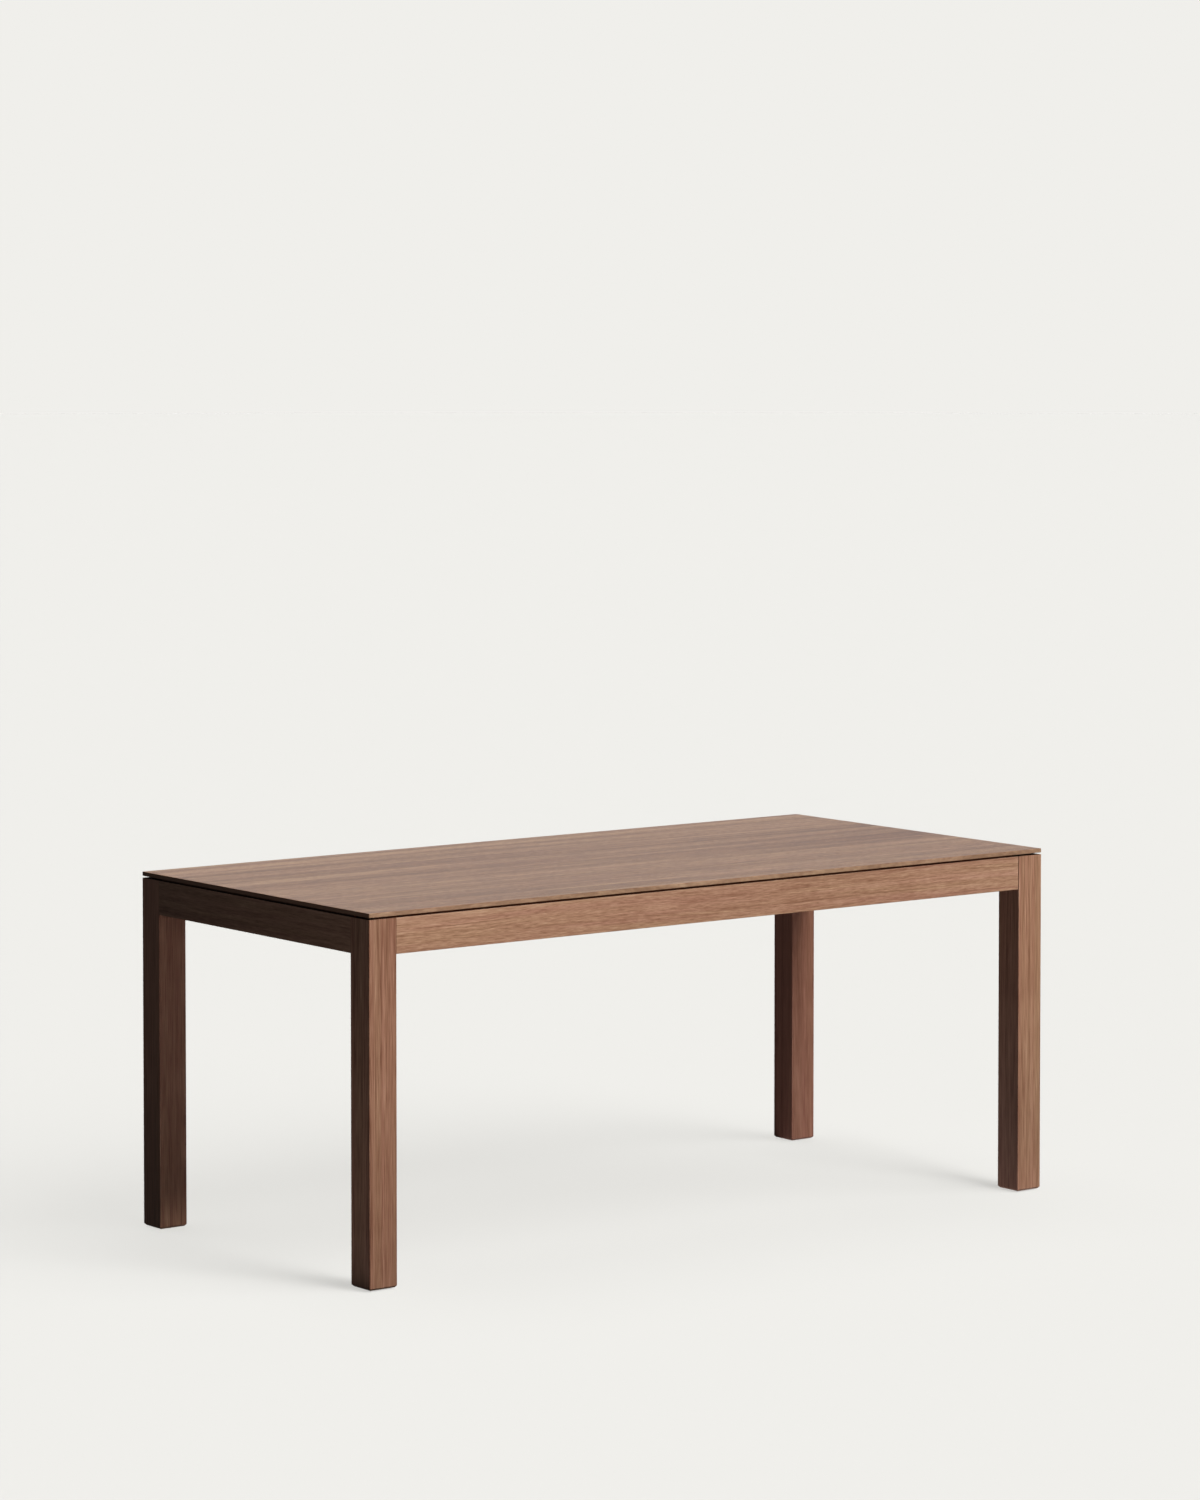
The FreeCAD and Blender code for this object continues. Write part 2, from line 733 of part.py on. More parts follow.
def make_bar_dowels():
    """Short dowels in the ends of the cross pieces of both frames."""
    pitch = size("bar_dowel_spread")
    steps = [(size("bar_dowel_size"), size("bar_dowel_length"))]
    cross_level = size("core_under") - size("cross_height") / 2
    low_level = size("frame_bottom") + size("low_bar_lift") + size("bar_thickness") / 2
    leaf_level = size("leaf_bar_bottom") + size("bar_thickness") / 2
    half_rail = size("rail_thickness") / 2
    half_bar = size("leaf_bar_width") / 2
    fixed = []
    moving = []
    for way in (-pitch / 2, pitch / 2):
        for left in ("left_cross", "middle_cross"):
            fixed += dowel_pair(size(left) + half_rail, size("apron_inner"), cross_level + way, steps)
        for middle in ("middle_low_bar", "right_low_bar"):
            fixed += dowel_pair(size(middle) + way, size("apron_inner"), low_level, steps)
        for left in ("left_leaf_bar", "right_leaf_bar"):
            moving += dowel_pair(size(left) + half_bar + way, size("side_inner"), leaf_level, steps)
    make_feature("bar_dowels_fixed", fixed)
    make_feature("bar_dowels_moving", moving)


def dowel_pair(x, face, level, steps):
    """The dowels at the front and the back end of a cross piece that meets rails at a face."""
    start = face + size("bar_dowel_seat")
    return [stack(Vector(x, side * start, level), Vector(0, -side, 0), steps) for side in (FRONT, BACK)]


# Telescopic slides

def channel(label, depth, height, opens_away):
    """A C-shaped slide member along X. Its own Y runs away from the apron."""
    body = new_body(label)
    wall = "slide_wall"
    sketch = new_sketch(body, "YZ_Plane")
    web = f"{depth} - {wall}"
    lip = f"{height} - {wall}"
    if opens_away:
        outline(sketch, [("0", "0"), (depth, "0"), (depth, wall), (wall, wall),
                         (wall, lip), (depth, lip), (depth, height), ("0", height)])
    else:
        outline(sketch, [("0", "0"), (depth, "0"), (depth, height), ("0", height),
                         ("0", lip), (web, lip), (web, wall), ("0", wall)])
    pad(body, sketch, "slide_length")
    return body


def place_on_slide(body, side, start, height):
    """Puts a slide member at its distance from the apron; the back one is turned half round."""
    level = f"side_level - {height} / 2"
    if side == FRONT:
        place(body, "slide_left", f"{start} - apron_inner", level)
    else:
        place(body, "slide_left + slide_length", f"apron_inner - ({start})", level, HALF_TURN)


def make_slide(side, word):
    """The three members of a telescopic slide, in their closed places."""
    outer = channel(f"slide_outer_{word}", "outer_depth", "slide_height", True)
    for along in slide_screw_places():
        side_holes(outer, along, "0", ["slide_height / 2"], QUARTER, "slide_screw_size", "slide_wall")
    place_on_slide(outer, side, "0", "slide_height")
    middle = channel(f"slide_middle_{word}", "middle_depth", "middle_height", True)
    place_on_slide(middle, side, "middle_start", "middle_height")
    inner = channel(f"slide_inner_{word}", "inner_depth", "inner_height", False)
    for along in slide_screw_places():
        side_holes(inner, along, "inner_depth - slide_wall", ["inner_height / 2"], QUARTER,
                   "slide_screw_size", "slide_wall")
    place_on_slide(inner, side, "slide_thickness - inner_depth", "inner_height")


def make_cage(label, side, start, depth, ball_line, ball_height, gap):
    """A ball retainer: a thin channel with a row of balls above and below."""
    wall = size("cage_wall")
    length = size("cage_length")
    ball = size(gap) - 2 * size("ball_play")
    centre = size(ball_height) / 2 - size("slide_wall") - size(gap) / 2
    half_height = centre + wall / 2
    solid = Part.makeBox(length, wall, 2 * half_height, Vector(0, size(start), -half_height))
    for way in (-1, 1):
        low = way * centre - wall / 2
        solid = solid.fuse(Part.makeBox(length, size(depth), wall, Vector(0, size(start), low)))
        for number in range(CAGE_BALLS):
            along = length * (number + 0.5) / CAGE_BALLS
            solid = solid.fuse(Part.makeSphere(ball / 2, Vector(along, size(ball_line), way * centre)))
    feature = make_feature(label, [solid])
    if side == FRONT:
        feature.Placement = Placement(
            Vector(size("cage_left"), -size("apron_inner"), size("side_level")), Rotation())
    else:
        feature.Placement = Placement(
            Vector(size("cage_left") + length, size("apron_inner"), size("side_level")),
            Rotation(Vector(0, 0, 1), HALF_TURN))


def make_slide_screws():
    fixed = []
    moving = []
    head = (size("slide_screw_head"), size("slide_screw_head_height"))
    shank = (size("slide_screw_size"), size("slide_wall") + size("slide_screw_length"))
    rise = size("slide_wall") + size("slide_screw_head_height")
    inset = size("screw_inset")
    length = size("slide_length")
    level = size("side_level")
    for side in (FRONT, BACK):
        for along in (inset, length / 2, length - inset):
            x = size("slide_left") + along
            outer_start = Vector(x, side * (size("apron_inner") - rise), level)
            fixed.append(stack(outer_start, Vector(0, side, 0), [head, shank]))
            inner_start = Vector(x, side * (size("side_outer") + rise), level)
            moving.append(stack(inner_start, Vector(0, -side, 0), [head, shank]))
    make_feature("slide_screws_fixed", fixed)
    make_feature("slide_screws_moving", moving)


def make_top_screws():
    screws = []
    head = (size("top_screw_head"), size("top_screw_head_height"))
    shank = (size("top_screw_size"), size("top_screw_length"))
    tip = size("core_under") + size("top_screw_bite")
    base = tip - size("top_screw_length") - size("top_screw_head_height")
    for cross in ("left_cross", "middle_cross"):
        for step in (-1, 0, 1):
            x = size(cross) + size("rail_thickness") / 2
            start = Vector(x, step * size("top_screw_spread"), base)
            screws.append(stack(start, Vector(0, 0, 1), [head, shank]))
    make_feature("top_screws", screws)


# Latches and stops

def make_latch(label, side):
    """A turn button under a moving rail; it points along the rail when open."""
    body = board(label, "latch_reach + latch_handle", "latch_width", "latch_thickness")
    soften(body, Vector(0, 0, 1))
    pivot = ("latch_reach", "latch_width / 2")
    upright_holes(body, [pivot], "0", "pivot_size + 2 * latch_play", "latch_thickness")
    middle = mirrored_y(side, "side_centre")
    place(body, "latch_x - latch_reach", f"{middle} - latch_width / 2", "latch_bottom")


def make_pivots():
    pivots = []
    base = size("latch_bottom") - size("latch_play") - size("pivot_head_height")
    head = (size("pivot_head"), size("pivot_head_height"))
    reach = size("side_bottom") + size("pivot_bite") - size("latch_bottom") + size("latch_play")
    for side in (FRONT, BACK):
        start = Vector(size("latch_x"), side * size("side_centre"), base)
        pivots.append(stack(start, Vector(0, 0, 1), [head, (size("pivot_size"), reach)]))
    make_feature("latch_pivots", pivots)


def make_keeper(label, side):
    """An angle on the apron that the closed latch swings behind."""
    body = new_body(label)
    sketch = new_sketch(body, "XY_Plane")
    post = "keeper_width - keeper_post"
    # The plate lies on the apron: at the near side of the outline in front, at the far side behind
    if side == FRONT:
        plate, plate_face, tip = "0", "keeper_base", "keeper_depth"
    else:
        plate, plate_face, tip = "keeper_depth", "keeper_depth - keeper_base", "0"
    outline(sketch, [("0", plate), ("keeper_width", plate), ("keeper_width", tip), (post, tip),
                     (post, plate_face), ("0", plate_face)])
    pad(body, sketch, "keeper_height")
    place(body, "latch_x + latch_width / 2 + keeper_play + keeper_post - keeper_width",
          "-apron_inner" if side == FRONT else "apron_inner - keeper_depth",
          "(latch_top + latch_bottom - keeper_height) / 2")


def make_bumpers():
    """Rubber discs on the moving legs, which meet the apron ends."""
    discs = []
    for side in (FRONT, BACK):
        y = side * (size("half_width") - size("rail_thickness") / 2)
        start = Vector(size("side_right") - size("bumper_thickness"), y, size("side_level"))
        discs.append(stack(start, Vector(1, 0, 0), [(size("bumper_size"), size("bumper_thickness"))]))
    make_feature("bumpers", discs)


def build():
    fill_sheet()
    make_main_top()
    make_leaf()
    make_pins()
    for end, end_word in ((FIXED, "left"), (MOVING, "right")):
        make_end_rail(f"end_rail_{end_word}", end)
        for side, word in ((FRONT, "front"), (BACK, "back")):
            make_leg(f"leg_{word}_{end_word}", end, side)
            make_glide(f"glide_{word}_{end_word}", end, side)
            make_corner_block(f"corner_block_{word}_{end_word}", end, side)
    for side, word in ((FRONT, "front"), (BACK, "back")):
        make_apron(f"apron_{word}", side)
        make_spacer(f"spacer_{word}", side)
        make_side_rail(f"side_rail_{word}", side)
        make_slide(side, word)
        make_cage(f"outer_cage_{word}", side, "outer_cage_start", "outer_cage_depth",
                  "outer_ball_line", "slide_height", "outer_gap")
        make_cage(f"inner_cage_{word}", side, "inner_cage_start", "inner_cage_depth",
                  "inner_ball_line", "middle_height", "inner_gap")
        make_latch(f"latch_{word}", side)
        make_keeper(f"latch_keeper_{word}", side)
    make_end_spacer()
    make_cross_rail("cross_rail_left", "left_cross", cross_dowels()[:2])
    make_cross_rail("cross_rail_middle", "middle_cross", cross_dowels()[2:])
    make_low_bar("low_bar_middle", "middle_low_bar", low_bar_dowels()[:2])
    make_low_bar("low_bar_right", "right_low_bar", low_bar_dowels()[2:])
    make_leaf_bar("leaf_bar_left", "left_leaf_bar", leaf_bar_dowels()[:2])
    make_leaf_bar("leaf_bar_right", "right_leaf_bar", leaf_bar_dowels()[2:])
    make_rail_pads()
    make_leaf_guides()
    make_corner_bolts("corner_bolts_fixed", "corner_nuts_fixed", FIXED)
    make_corner_bolts("corner_bolts_moving", "corner_nuts_moving", MOVING)
    make_dowels()
    make_bar_dowels()
    make_slide_screws()
    make_top_screws()
    make_pivots()
    make_bumpers()
    doc.recompute()


def check():
    """Stops before anything is written if an object failed or a pocket cut nothing."""
    faults = []
    for item in doc.Objects:
        if "Invalid" in item.State or "Error" in item.State:
            faults.append(f"{item.Label}: {item.State}")
        if item.TypeId == "PartDesign::Pocket" and item.BaseFeature is not None:
            if item.Shape.Volume >= item.BaseFeature.Shape.Volume:
                faults.append(f"{item.Label}: cuts nothing")
    for item in parts:
        if item.Shape.isNull() or not item.Shape.isValid():
            faults.append(f"{item.Label}: shape is not valid")
    if faults:
        raise RuntimeError("; ".join(faults))


def write():
    os.makedirs("parts", exist_ok=True)
    for item in parts:
        item.Shape.exportStep(f"parts/{item.Label}.step")
    print(f"{len(parts)} sub-parts written")


build()
check()
write()
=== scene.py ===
import json
import math

import bpy
import numpy as np
from mathutils import Matrix, Vector


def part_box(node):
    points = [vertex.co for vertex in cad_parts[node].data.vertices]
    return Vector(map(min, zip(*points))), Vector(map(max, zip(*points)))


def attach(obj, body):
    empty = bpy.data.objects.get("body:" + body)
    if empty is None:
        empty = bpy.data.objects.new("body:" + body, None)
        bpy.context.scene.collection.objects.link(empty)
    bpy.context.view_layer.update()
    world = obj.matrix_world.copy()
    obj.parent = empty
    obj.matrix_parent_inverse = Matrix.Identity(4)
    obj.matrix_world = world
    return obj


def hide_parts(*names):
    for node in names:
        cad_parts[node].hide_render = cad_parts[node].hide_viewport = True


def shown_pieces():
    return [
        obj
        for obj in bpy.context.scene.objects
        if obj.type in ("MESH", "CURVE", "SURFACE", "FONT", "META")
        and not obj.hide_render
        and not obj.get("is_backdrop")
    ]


# Looks of an extending walnut table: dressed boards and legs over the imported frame, studio and camera.
# Metres, X along the table towards the end that pulls out, the front at -Y, Z up from the floor.

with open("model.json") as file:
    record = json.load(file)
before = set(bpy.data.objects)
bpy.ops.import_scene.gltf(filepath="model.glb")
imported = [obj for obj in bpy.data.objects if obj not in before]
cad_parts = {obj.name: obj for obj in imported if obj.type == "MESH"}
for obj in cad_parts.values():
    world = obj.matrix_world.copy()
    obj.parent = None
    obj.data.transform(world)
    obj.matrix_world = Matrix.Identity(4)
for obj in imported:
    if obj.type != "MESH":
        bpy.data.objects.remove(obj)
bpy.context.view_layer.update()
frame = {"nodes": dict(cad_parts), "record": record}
MM = 0.001


# Shader words

class Wire:
    """One value inside a finish; Python's + - * / on it add the Math nodes."""

    def __init__(self, finish, socket):
        self.finish = finish
        self.socket = socket

    def math(self, operation, *values):
        return self.finish.node("ShaderNodeMath", {"operation": operation}, values)

    def __add__(self, other):
        return self.math("ADD", self, other)

    def __sub__(self, other):
        return self.math("SUBTRACT", self, other)

    def __rsub__(self, other):
        return self.math("SUBTRACT", other, self)

    def __mul__(self, other):
        return self.math("MULTIPLY", self, other)

    def __truediv__(self, other):
        return self.math("DIVIDE", self, other)

    def __abs__(self):
        return self.math("ABSOLUTE", self)

    __radd__ = __add__
    __rmul__ = __mul__

    def floor(self):
        return self.math("FLOOR", self)

    def above(self, limit):
        return self.math("GREATER_THAN", self, limit)

    def ease(self, low, high):
        """0 below low, 1 above high, and a smooth step between them."""
        return self.finish.node("ShaderNodeMapRange", {"interpolation_type": "SMOOTHSTEP"},
                                {"Value": self, "From Min": low, "From Max": high}, "Result")


class Finish:
    """A material with one Principled shader, built up by words."""

    def __init__(self, name, **constants):
        self.material = bpy.data.materials.new(name)
        self.material.use_nodes = True
        self.tree = self.material.node_tree
        self.shader = self.tree.nodes["Principled BSDF"]
        self.set(self.shader, constants)

    def set(self, node, inputs):
        pairs = inputs.items() if isinstance(inputs, dict) else enumerate(inputs)
        for key, value in pairs:
            if isinstance(value, Wire):
                self.tree.links.new(value.socket, node.inputs[key])
            elif value is not None:
                node.inputs[key].default_value = value

    def node(self, kind, settings, inputs, out=0):
        made = self.tree.nodes.new(kind)
        for key, value in settings.items():
            if key == "stops":
                self.fill_ramp(made.color_ramp, value)
            else:
                setattr(made, key, value)
        self.set(made, inputs)
        return Wire(self, made.outputs[out])

    def fill_ramp(self, ramp, stops):
        while len(ramp.elements) < len(stops):
            ramp.elements.new(1.0)
        for element, (place, colour) in zip(ramp.elements, stops):
            element.position = place
            element.color = (*colour, 1.0)

    def places(self):
        """The point in the object's own space, as x, y and z."""
        point = self.node("ShaderNodeTexCoord", {}, [], "Object")
        split = self.node("ShaderNodeSeparateXYZ", {}, [point]).socket.node
        return [Wire(self, socket) for socket in split.outputs]

    def vector(self, x, y, z):
        return self.node("ShaderNodeCombineXYZ", {}, [x, y, z])

    def noise(self, vector, scale=1.0, detail=2.0, roughness=0.5):
        return self.node("ShaderNodeTexNoise", {},
                         {"Vector": vector, "Scale": scale, "Detail": detail, "Roughness": roughness}, "Fac")

    def chance(self, value):
        """The same random number wherever the value is the same."""
        return self.node("ShaderNodeTexWhiteNoise", {"noise_dimensions": "1D"}, {"W": value}, "Value")

    def ramp(self, value, stops):
        return self.node("ShaderNodeValToRGB", {"stops": stops}, [value], "Color")

    def mix(self, share, first, second, blend="MIX"):
        return self.node("ShaderNodeMix", {"data_type": "RGBA", "blend_type": blend},
                         {0: share, 6: colour(first), 7: colour(second)}, 2)

    def bump(self, height, distance, strength=1.0):
        return self.node("ShaderNodeBump", {}, {"Strength": strength, "Distance": distance, "Height": height})

    def wear(self, **links):
        """Links values to the shader's sockets, Base_Color for Base Color and so on."""
        self.set(self.shader, {key.replace("_", " "): value for key, value in links.items()})
        return self.material


def colour(value):
    return (*value, 1.0) if isinstance(value, tuple) else value


# Finishes

# Colours of the woods from the darkest to the lightest, each with its place on the ramp
WALNUT = [(0.0, (0.119, 0.042, 0.020)), (0.34, (0.220, 0.102, 0.061)),
          (0.62, (0.323, 0.171, 0.107)), (1.0, (0.474, 0.287, 0.195))]
BEECH = [(0.0, (0.330, 0.205, 0.120)), (0.40, (0.470, 0.310, 0.190)),
         (0.70, (0.560, 0.385, 0.245)), (1.0, (0.660, 0.480, 0.320))]
# The two tints between which a wood changes from streak to streak
HUES = ((1.01, 0.96, 1.01), (0.98, 1.01, 0.96))
LEG_HUES = ((1.03, 0.94, 0.99), (0.98, 1.01, 0.97))
# The wood of the top's edge bands, and their tones on the sides and the right end, and on the left end, whose
# darker tone is painted shade
EDGE_BAND = (0.240, 0.132, 0.076)
BAND_TONE, LEFT_BAND_PAINTED_SHADE = (1.08, 1.24, 1.38), (0.60, 0.58, 0.60)
# The near-black stain in the shadow gap, painted shade that deepens the gap's shadow, and the height up to
# which painted shade darkens a leg towards the floor
GAP_SHADE_COLOUR = (0.034, 0.012, 0.004)
PAINTED_FOOT_SHADE_HEIGHT = 0.6
# Kinds of line in a wood: the width across the log, the length along it, the detail of the noise, and
# a shift of the seed that keeps the kinds apart
LINES = {
    "broad": (0.048, 1.5, 1.0, 0.0),
    "band": (0.010, 0.60, 2.0, 3.0),
    "fine": (0.0028, 0.060, 3.0, 7.0),
    "fibre": (0.0012, 0.014, 2.0, 11.0),
    "dark": (0.0062, 0.80, 1.0, 17.0),
    "pore": (0.0006, 0.009, 1.0, 23.0),
    "hue": (0.013, 0.35, 2.0, 29.0),
}


def wood(name, grain, seed, stops=WALNUT, tone=(1, 1, 1), strip=None, slant=0.6, fine_share=1.0,
         band_share=1.0, reach=1.0, bend=0.036, hues=HUES, foot=0.0, banded=None, painted_gap_shade=None):
    """Wood whose lines are stretched noise over a distance through the log.

    The distance is a slanted sum of the two places across the grain, bent by a slow noise along it.
    With a strip width the face is laid from veneer strips, each cut from another part of the log.
    Reach lengthens all lines, and the two shares strengthen the fine and the broad ones. Foot is how
    much painted shade darkens a leg towards the floor. Banded holds the distance from the middle where the
    end faces begin and the level below which the edge band lies; the left end's band gets a darker tone of
    painted shade. The last argument holds the two levels of the shadow gap, whose faces get a near-black
    painted shade.
    """
    f = Finish(name)
    x, y, z = f.places()
    along, across, depth = {"x": (x, y, z), "y": (y, x, z), "z": (z, x, y)}[grain]
    if banded:
        # The board's ends carry a band whose grain runs across the table
        end_start, band_level = banded
        at_end = abs(x).above(end_start)
        along = along + (y - x) * at_end
        across = across + (z - y) * at_end
    lift = 0.0
    if strip:
        # A strip's luck gives its place along the log and how light it is, its number the place across
        number = ((across + seed * 0.37 * strip) / strip).floor()
        luck = f.chance(number + seed)
        along = along + luck * 3.1
        across = across + number * 0.219
        lift = (luck - 0.5) * 0.16
    along = along + seed * 1.7
    slow = f.noise(f.vector(along * 0.9, across * 5.0, depth * 5.0 + seed))
    through = across * math.cos(slant) + depth * math.sin(slant) + (slow - 0.5) * bend

    def lines(kind):
        width, length, detail, shift = LINES[kind]
        return f.noise(f.vector(through / width, along / (length * reach), seed + shift), detail=detail)

    broad = lines("broad")
    band = lines("band")
    fine = lines("fine")
    fibre = lines("fibre")
    dark_line = lines("dark").ease(0.58, 0.72)
    pores = lines("pore").ease(0.60, 0.72)
    # The place on the ramp of colours, from the darkest to the lightest
    share = 0.5 + lift + ((broad - 0.5) * 0.60 + (band - 0.5) * 0.60) * band_share
    thin = (fine - 0.5) * 0.80 + (fibre - 0.5) * 0.90 - dark_line * 0.15 - pores * 0.18
    share = share + thin * fine_share
    body = f.ramp(share, stops)
    warmth = f.mix((lines("hue") - 0.5) * 2.4 + 0.5, *hues)
    body = f.mix(1.0, body, warmth, "MULTIPLY")
    body = f.mix(1.0, body, tone, "MULTIPLY")
    # Painted shade: a leg gets darker towards the floor
    if foot:
        painted_foot_shade = f.mix(z.ease(0.0, PAINTED_FOOT_SHADE_HEIGHT), (1 - foot,) * 3, (1.0, 1.0, 1.0))
        body = f.mix(1.0, body, painted_foot_shade, "MULTIPLY")
    rough = 0.45 + (fine - 0.5) * 0.16 + pores * 0.12
    if banded:
        # Of the two end faces the left one lies at negative X, and its band gets the darker tone of painted
        # shade
        below = (band_level - z).ease(-0.1 * MM, 0.1 * MM)
        band_tone = f.mix(at_end * (x * -10.0 + 0.5).above(0.5), BAND_TONE, LEFT_BAND_PAINTED_SHADE)
        plain_band = f.mix(0.6, body, EDGE_BAND)
        body = f.mix(below, body, f.mix(1.0, plain_band, band_tone, "MULTIPLY"))
    if painted_gap_shade:
        # The faces inside the shadow gap get a near-black painted shade, with soft limits
        low, high = painted_gap_shade
        in_gap = (z - low).ease(-0.20 * MM, -0.10 * MM) * (high - z).ease(-0.20 * MM, -0.10 * MM)
        body = f.mix(in_gap * 0.9, body, GAP_SHADE_COLOUR)
        rough = rough + in_gap * 0.5
    height = fibre * 0.5 + fine * 0.5 - pores * 0.9
    return f.wear(Base_Color=body, Roughness=rough, Normal=f.bump(height, 0.12 * MM, 0.5))


def plated_steel(name, grain):
    """Zinc plate over rolled steel: fine lines along the strip and a faint cloudiness."""
    f = Finish(name, Metallic=0.55)
    x, y, z = f.places()
    along, across, depth = {"x": (x, y, z), "y": (y, z, x), "z": (z, x, y)}[grain]
    rolled = f.noise(f.vector(along * 20.0, across * 2200.0, depth * 2200.0))
    cloud = f.noise(f.vector(x, y, z), 60.0, 3.0)
    body = f.mix(cloud, (0.46, 0.47, 0.49), (0.62, 0.62, 0.62))
    rough = 0.30 + (cloud - 0.5) * 0.25 + (rolled - 0.5) * 0.12
    return f.wear(Base_Color=body, Roughness=rough, Normal=f.bump(rolled, 0.006 * MM, 0.3))


def turned_brass(name):
    """Brass with the fine lines of a lathe and a faint cloudiness."""
    f = Finish(name, Metallic=0.6)
    x, y, z = f.places()
    turned = f.noise(f.vector(x * 3000.0, y * 60.0, z * 60.0))
    cloud = f.noise(f.vector(x, y, z), 90.0)
    body = f.mix(cloud, (0.60, 0.40, 0.16), (0.78, 0.58, 0.28))
    return f.wear(Base_Color=body, Roughness=0.26 + (turned - 0.5) * 0.2)


def grained(name, dark, light, scale, roughness, depth):
    """A plain moulded or pressed stuff with a fine grain, such as nylon, rubber or felt."""
    f = Finish(name)
    x, y, z = f.places()
    point = f.vector(x, y, z)
    cloud = f.noise(point, scale * 0.08, 3.0)
    grain = f.noise(point, scale, 3.0, 0.7)
    body = f.mix(cloud * 0.6 + grain * 0.4, dark, light)
    rough = roughness + (grain - 0.5) * 0.15
    return f.wear(Base_Color=body, Roughness=rough, Normal=f.bump(grain, depth, 0.6))


# Shapes

def section(points, steps=6):
    """Rounds a path of (inset, level, radius) points, and gives the outward direction before and after each.

    Inset grows inwards from the ring and level grows along the sweep. A corner with a radius becomes
    an arc whose direction turns evenly; a corner without one keeps two directions, one each side.
    """
    points = np.array(points, float)
    inset, level, before, after = [], [], [], []

    def keep(place, first, second):
        inset.append(place[0])
        level.append(place[1])
        before.append(first)
        after.append(second)

    runs = np.diff(points[:, :2], axis=0)
    runs /= np.linalg.norm(runs, axis=1)[:, None]
    outward = runs[:, ::-1]
    keep(points[0], outward[0], outward[0])
    for number in range(1, len(points) - 1):
        corner, radius = points[number, :2], points[number, 2]
        first, second = outward[number - 1], outward[number]
        if radius == 0:
            keep(corner, first, second)
            continue
        turn = math.acos(float(np.clip(runs[number - 1] @ runs[number], -1, 1)))
        reach = radius * math.tan(turn / 2)
        start, end = corner - runs[number - 1] * reach, corner + runs[number] * reach
        centre_way = (start + end) / 2 - corner
        centre = corner + centre_way / np.linalg.norm(centre_way) * (radius / math.cos(turn / 2))
        side = np.sign(np.cross(runs[number - 1], runs[number]))
        for share in np.linspace(0, 1, steps + 1):
            angle = side * turn * share
            spin = np.array([[math.cos(angle), -math.sin(angle)], [math.sin(angle), math.cos(angle)]])
            place = centre + spin @ (start - centre)
            way = spin @ runs[number - 1]
            keep(place, way[::-1], way[::-1])
    keep(points[-1], outward[-1], outward[-1])
    return np.array(inset), np.array(level), np.array(before), np.array(after)


def corner_columns(steps=6):
    """Columns of a rounded rectangle, anticlockwise: the signs of the corner and the direction from it."""
    rows = []
    for sign_a, sign_b, start in ((1, 1, 0), (-1, 1, 90), (-1, -1, 180), (1, -1, 270)):
        for angle in np.radians(np.linspace(start, start + 90, steps + 1)):
            rows.append((sign_a, sign_b, math.cos(angle), math.sin(angle)))
    return np.array(rows)


# The two axes of the section and the axis of the sweep, as places in X, Y and Z
AXES = {"x": (1, 2, 0), "y": (2, 0, 1), "z": (0, 1, 2)}
LEAST_RADIUS = 0.2 * MM


def swept(name, node, axis, path, arris, finish):
    """A board or post in the box of a CAD node.

    Row k, column j lies at sign * (half size - inset k - r) + direction j * r, with r = arris - inset k
    or the least radius where that is less. The rows follow the section along the axis.
    """
    low, high = (np.array(corner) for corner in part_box(node))
    order = list(AXES[axis])
    middle, half = ((low + high) / 2)[order], ((high - low) / 2)[order]
    inset, level, before, after = section(path(2 * half[2]))
    columns = corner_columns()
    radius = np.maximum(arris - inset, LEAST_RADIUS)[:, None]
    reach = half[None, :2] - inset[:, None]
    a = columns[:, 0] * (reach[:, :1] - radius) + columns[:, 2] * radius
    b = columns[:, 1] * (reach[:, 1:] - radius) + columns[:, 3] * radius
    c = np.repeat(level[:, None] - half[2], len(columns), axis=1)
    grid = np.stack([a, b, c], axis=-1) + middle
    rows, count = grid.shape[:2]
    k, j = np.meshgrid(np.arange(rows - 1), np.arange(count), indexing="ij")
    n = (j + 1) % count
    quads = np.stack([k * count + j, k * count + n, (k + 1) * count + n, (k + 1) * count + j], axis=-1)

    def ways(rows_of, columns_of, pair):
        flat = columns[columns_of, 2:4] * pair[rows_of, :1]
        return np.concatenate([flat, pair[rows_of, 1:]], axis=-1)

    k, j, n = k.ravel(), j.ravel(), n.ravel()
    corners = np.stack([ways(k, j, after), ways(k, n, after),
                        ways(k + 1, n, before), ways(k + 1, j, before)], axis=1)
    faces = [tuple(face) for face in quads.reshape(-1, 4).tolist()]
    normals = [list(map(tuple, face)) for face in corners.tolist()]
    faces.append(tuple(range(count))[::-1])
    normals.append([(0.0, 0.0, -1.0)] * count)
    faces.append(tuple(range((rows - 1) * count, rows * count)))
    normals.append([(0.0, 0.0, 1.0)] * count)
    return lay(name, grid.reshape(-1, 3), faces, normals, order, finish)


def lay(name, points, faces, normals, order, finish):
    """Turns the swept axes back into X, Y and Z, and makes the object with its normals."""
    back = np.argsort(order)
    mesh = bpy.data.meshes.new(name)
    mesh.from_pydata(points[:, back].tolist(), [], faces)
    mesh.polygons.foreach_set("use_smooth", [True] * len(mesh.polygons))
    corners = np.array([way for face in normals for way in face])[:, back]
    corners /= np.linalg.norm(corners, axis=1)[:, None]
    mesh.normals_split_custom_set(corners.tolist())
    mesh.update()
    piece = bpy.data.objects.new(name, mesh)
    bpy.context.scene.collection.objects.link(piece)
    mesh.materials.append(finish)
    return piece


def dress(piece, body, *nodes):
    """Gives a piece its body, and hides the CAD nodes that it stands for."""
    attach(piece, body)
    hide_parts(*nodes)


# Walnut pieces

ARRIS = 0.9 * MM
FOOT_CHAMFER = 4 * MM
body_of = {node: body for body, nodes in frame["record"]["behaviour"]["bodies"].items() for node in nodes}

gap_low, gap_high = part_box("spacer_front")[0].z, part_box("spacer_front")[1].z


